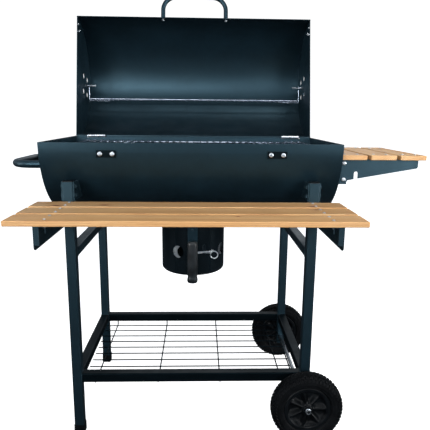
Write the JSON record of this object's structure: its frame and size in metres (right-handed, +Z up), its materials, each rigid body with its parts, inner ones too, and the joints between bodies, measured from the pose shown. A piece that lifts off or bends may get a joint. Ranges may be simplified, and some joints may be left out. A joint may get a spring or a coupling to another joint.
{
  "type": "barrel charcoal grill",
  "caption": "Half-barrel charcoal grill with hinged lid, wooden front and side shelves, ash pot, wire bottom shelf and two wheels.",
  "frame": {"origin": "on the floor under the middle of the overall box, lid open", "axes": "+X to the cook's right along the barrel, +Y away from the cook, +Z up"},
  "size_m": [1.073, 0.8546, 1.2229],
  "materials": {
    "powder_coat": "satin powder coat",
    "gloss_enamel": "glossy enamel",
    "zinc": "zinc plated",
    "chrome_wire": "bright plated wire",
    "iron_wire": "black heat-proof coat",
    "wood": "oiled softwood",
    "tyre_rubber": "black rubber",
    "black_plastic": "moulded",
    "grip_plastic": "moulded heat-proof"
  },
  "bodies": {
    "stand": {"leg_front_left": "powder_coat", "leg_front_right": "powder_coat", "leg_rear_left": "powder_coat", "leg_rear_right": "powder_coat", "rail_lower_left": "powder_coat", "rail_lower_right": "powder_coat", "rail_lower_front": "powder_coat", "rail_lower_rear": "powder_coat", "rail_upper_left": "powder_coat", "rail_upper_right": "powder_coat", "foot_caps": "black_plastic", "leg_plugs": "black_plastic", "wire_shelf": "powder_coat", "leg_brackets": "powder_coat", "frame_bolts": "powder_coat", "side_arm_bolts": "zinc", "axle": "zinc", "axle_caps": "zinc", "firebox_shell": "powder_coat", "firebox_end_left": "powder_coat", "firebox_end_right": "powder_coat", "pot_collar": "powder_coat", "ledge_plates": "powder_coat", "grate_ledges": "zinc", "ledge_bolts": "zinc", "charcoal_grate": "iron_wire", "hinge_leaves_lower": "zinc", "hinge_pins": "zinc", "side_handle": "powder_coat", "slat_screws": "zinc", "side_angles": "powder_coat", "front_bracket_left": "powder_coat", "front_bracket_right": "powder_coat", "front_slat_1": "wood", "front_slat_2": "wood", "front_slat_3": "wood", "side_slat_1": "wood", "side_slat_2": "wood", "side_slat_3": "wood", "side_bracket_front": "powder_coat", "side_bracket_rear": "powder_coat"},
    "lid": {"lid_shell": "powder_coat", "lid_end_left": "powder_coat", "lid_end_right": "powder_coat", "hinge_leaves_upper": "zinc", "lid_handle": "powder_coat", "lid_handle_screws": "zinc", "damper_pivots": "zinc"},
    "damper_left": {"lid_damper_left": "powder_coat"},
    "damper_right": {"lid_damper_right": "powder_coat"},
    "rack": {"rack_hangers": "chrome_wire", "warming_rack": "chrome_wire"},
    "grate": {"cooking_grate": "chrome_wire"},
    "pot": {"ash_pot": "gloss_enamel", "ash_pot_handle": "grip_plastic"},
    "pot_ring": {"pot_damper": "zinc"},
    "wheel_front": {"tyre_front": "tyre_rubber", "rim_front": "black_plastic"},
    "wheel_rear": {"tyre_rear": "tyre_rubber", "rim_rear": "black_plastic"}
  },
  "joints": [
    {"name": "lid_hinge", "type": "hinge", "parent": "stand", "child": "lid", "pos_m": [-0.0585, 0.1972, 0.7765], "axis": [-1, 0, 0], "range_deg": [-102, 0]},
    {"name": "rack_swing", "type": "hinge", "parent": "lid", "child": "rack", "pos_m": [-0.0585, 0.35468, 0.93778], "axis": [-1, 0, 0], "range_deg": [0, 102]},
    {"name": "damper_left_turn", "type": "hinge", "parent": "lid", "child": "damper_left", "pos_m": [-0.4315, 0.35468, 0.93778], "axis": [1, 0, 0], "range_deg": [0, 45]},
    {"name": "damper_right_turn", "type": "hinge", "parent": "lid", "child": "damper_right", "pos_m": [0.3145, 0.35468, 0.93778], "axis": [1, 0, 0], "range_deg": [0, 45]},
    {"name": "cooking_grate_lift", "type": "slide", "parent": "stand", "child": "grate", "axis": [0, 0, 1], "range_m": [0, 0.12]},
    {"name": "ash_pot_drop", "type": "slide", "parent": "stand", "child": "pot", "axis": [0, 0, 1], "range_m": [-0.1, 0]},
    {"name": "pot_damper_turn", "type": "hinge", "parent": "pot", "child": "pot_ring", "pos_m": [-0.0585, 0.0067, 0.472], "axis": [0, 0, 1], "range_deg": [-9, 18]},
    {"name": "wheel_front_spin", "type": "hinge", "parent": "stand", "child": "wheel_front", "pos_m": [0.243, -0.2303, 0.095], "axis": [0, 1, 0], "continuous": true},
    {"name": "wheel_rear_spin", "type": "hinge", "parent": "stand", "child": "wheel_rear", "pos_m": [0.243, 0.2437, 0.095], "axis": [0, 1, 0], "continuous": true}
  ],
  "couplings": [
    {"joint": "rack_swing", "follows": "lid_hinge", "ratio": -1}
  ]
}
